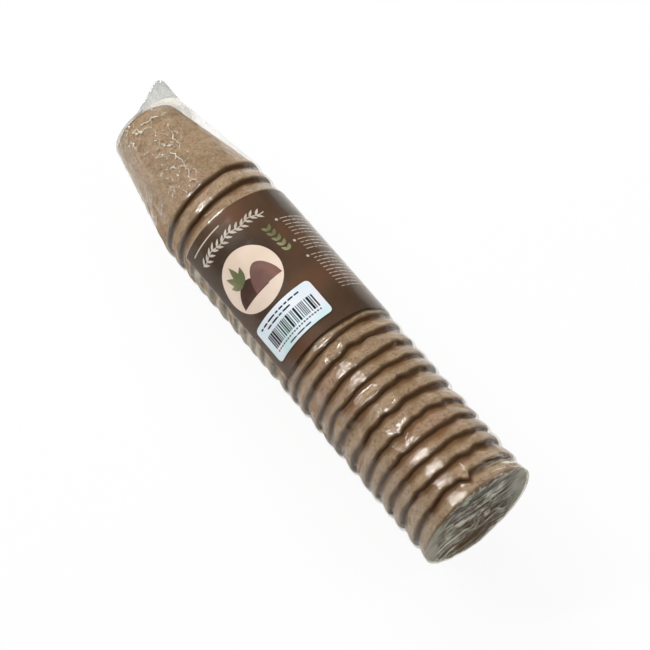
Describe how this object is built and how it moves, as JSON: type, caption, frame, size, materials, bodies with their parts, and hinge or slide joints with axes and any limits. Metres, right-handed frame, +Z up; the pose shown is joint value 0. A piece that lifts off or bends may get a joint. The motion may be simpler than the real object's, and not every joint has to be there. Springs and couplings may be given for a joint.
{
  "type": "fibre pot pack",
  "caption": "Film-wrapped stack of nested round tapered fibre plant pots, with a printed card under the film and a sticker on it.",
  "frame": {"origin": "middle of the pack's box, on the surface that it lies on", "axes": "+X along the stack from the closed base end to the open mouths, +Z up"},
  "size_m": [0.3738, 0.0816, 0.0822],
  "materials": {
    "fibre": "rough moulded fibre",
    "film": "clear gloss",
    "card": "printed, silk",
    "sticker": "printed, silk"
  },
  "bodies": {
    "root": {"pot_01": "fibre", "pot_02": "fibre", "pot_03": "fibre", "pot_04": "fibre", "pot_05": "fibre", "pot_06": "fibre", "pot_07": "fibre", "pot_08": "fibre", "pot_09": "fibre", "pot_10": "fibre", "pot_11": "fibre", "pot_12": "fibre", "pot_13": "fibre", "pot_14": "fibre", "pot_15": "fibre", "pot_16": "fibre", "pot_17": "fibre", "pot_18": "fibre", "pot_19": "fibre", "pot_20": "fibre", "pot_21": "fibre", "pot_22": "fibre", "pot_23": "fibre", "pot_24": "fibre", "film_sleeve": "film", "film_mouth_cover": "film", "film_tail": "film", "film_seam": "film", "label_card": "card", "barcode_sticker": "sticker"}
  },
  "joints": []
}
